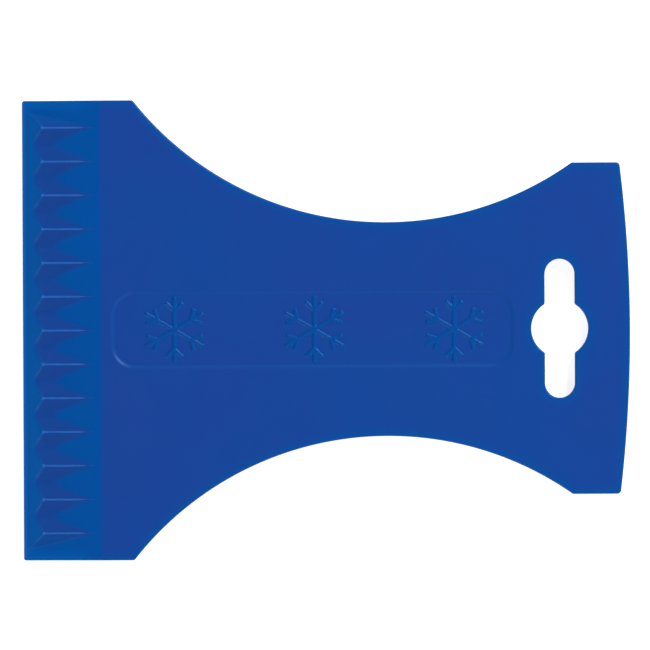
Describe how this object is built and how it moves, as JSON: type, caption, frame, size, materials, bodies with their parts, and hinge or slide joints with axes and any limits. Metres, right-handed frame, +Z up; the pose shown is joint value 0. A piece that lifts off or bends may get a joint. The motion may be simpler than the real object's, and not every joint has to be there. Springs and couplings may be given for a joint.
{
  "type": "windshield ice scraper",
  "caption": "Flat card-shaped windshield ice scraper: bevelled blade with ice-breaking ribs, waisted grip, sunk panel with snowflakes, and a hanging slot.",
  "frame": {"origin": "on the flat underside, under the middle of the bounding box", "axes": "+X from the cutting edge towards the hanging end, +Y across the tool, +Z up from the flat underside to the bevelled and ribbed face; the tool is mirror-symmetric about y = 0"},
  "size_m": [0.14, 0.106, 0.004],
  "materials": {
    "body_plastic": "smooth injection-moulded blue plastic, semi-gloss, slightly translucent at thin edges",
    "blade_plastic": "the same blue plastic where it is thin, a little lighter, semi-gloss"
  },
  "bodies": {
    "root": {"blade": "blade_plastic", "handle_plate": "body_plastic", "ice_rib_01": "blade_plastic", "ice_rib_02": "blade_plastic", "ice_rib_03": "blade_plastic", "ice_rib_04": "blade_plastic", "ice_rib_05": "blade_plastic", "ice_rib_06": "blade_plastic", "ice_rib_07": "blade_plastic", "ice_rib_08": "blade_plastic", "ice_rib_09": "blade_plastic", "ice_rib_10": "blade_plastic", "ice_rib_11": "blade_plastic", "ice_rib_12": "blade_plastic", "ice_rib_13": "blade_plastic", "snowflake_1": "body_plastic", "snowflake_2": "body_plastic", "snowflake_3": "body_plastic"}
  },
  "joints": []
}
